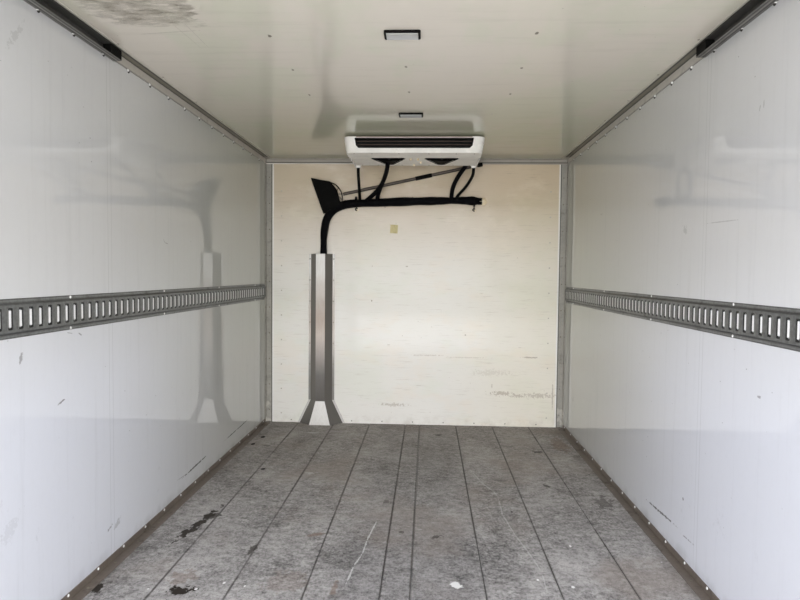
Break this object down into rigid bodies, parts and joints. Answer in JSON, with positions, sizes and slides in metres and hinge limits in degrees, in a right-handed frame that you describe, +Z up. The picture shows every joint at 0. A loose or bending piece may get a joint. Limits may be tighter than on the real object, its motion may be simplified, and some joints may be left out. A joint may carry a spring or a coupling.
{
  "type": "insulated refrigerated truck body",
  "caption": "Hollow insulated box body for a refrigerated truck: sandwich walls, rear opening with stored roll-up door, load rails, evaporator with fans, pipework and duct.",
  "frame": {"origin": "middle of the footprint at the underside of the long runners", "axes": "+Y forward to the bulkhead, +Z up, +X right when looking forward"},
  "size_m": [2.574, 5.408, 2.545],
  "materials": {
    "panel_white": "glossy, lightly scuffed",
    "lining_cream": "glossy",
    "floor_grey": "worn, matt",
    "aluminium": "mill finish",
    "galvanised": "zinc plated",
    "stainless": "brushed",
    "plastic_white": "satin",
    "plastic_black": "matt",
    "foam_black": "matt, taped foam",
    "foam_cream": "rough foam",
    "rubber_black": "matt",
    "lens_clear": "frosted",
    "lens_amber": "glossy",
    "lens_red": "glossy"
  },
  "bodies": {
    "box": {"bottom_rails": "aluminium", "buffers": "rubber_black", "bulkhead_lining": "lining_cream", "bulkhead_panel": "panel_white", "coolant_pipe_branch": "foam_black", "coolant_pipe_left": "foam_black", "coolant_pipe_right": "foam_black", "corner_caps": "plastic_white", "corner_posts": "aluminium", "corner_trims": "aluminium", "cross_members": "galvanised", "dark_flap": "rubber_black", "door_grip": "plastic_black", "door_hinges": "galvanised", "door_rollers": "galvanised", "door_sections": "panel_white", "door_shaft": "galvanised", "door_stops": "rubber_black", "door_tracks": "galvanised", "drain_hoses": "rubber_black", "drain_spouts": "plastic_white", "duct_cover": "stainless", "duct_foot": "stainless", "evaporator_coil": "aluminium", "evaporator_deck": "plastic_white", "evaporator_hangers": "galvanised", "evaporator_hood": "plastic_white", "evaporator_louvre": "plastic_black", "fan_motors": "plastic_black", "fan_rings": "plastic_white", "floor_boards": "floor_grey", "floor_slab": "panel_white", "foam_seal": "foam_cream", "kick_angles": "aluminium", "load_rail_left": "galvanised", "load_rail_right": "galvanised", "long_runners": "galvanised", "mount_brackets": "galvanised", "pipe_bundle": "foam_black", "pipe_clips": "galvanised", "rear_header": "stainless", "rear_lamps": "lens_red", "rear_posts": "stainless", "rear_sill": "stainless", "roof_light_frames": "plastic_black", "roof_light_lenses": "lens_clear", "roof_panel": "panel_white", "roof_profile_front": "aluminium", "roof_profile_sides": "aluminium", "roof_trims": "aluminium", "shaft_brackets": "galvanised", "side_lamps": "lens_amber", "slim_tube": "aluminium", "tube_sleeves": "rubber_black", "wall_left": "panel_white", "wall_right": "panel_white"},
    "fan_left": {"fan_left": "plastic_black"},
    "fan_right": {"fan_right": "plastic_black"}
  },
  "joints": [
    {"name": "fan_left_spin", "type": "hinge", "parent": "box", "child": "fan_left", "pos_m": [-0.18, 2.041, 2.379], "axis": [0, 0, 1], "continuous": true},
    {"name": "fan_right_spin", "type": "hinge", "parent": "box", "child": "fan_right", "pos_m": [0.2, 2.041, 2.379], "axis": [0, 0, 1], "continuous": true}
  ]
}
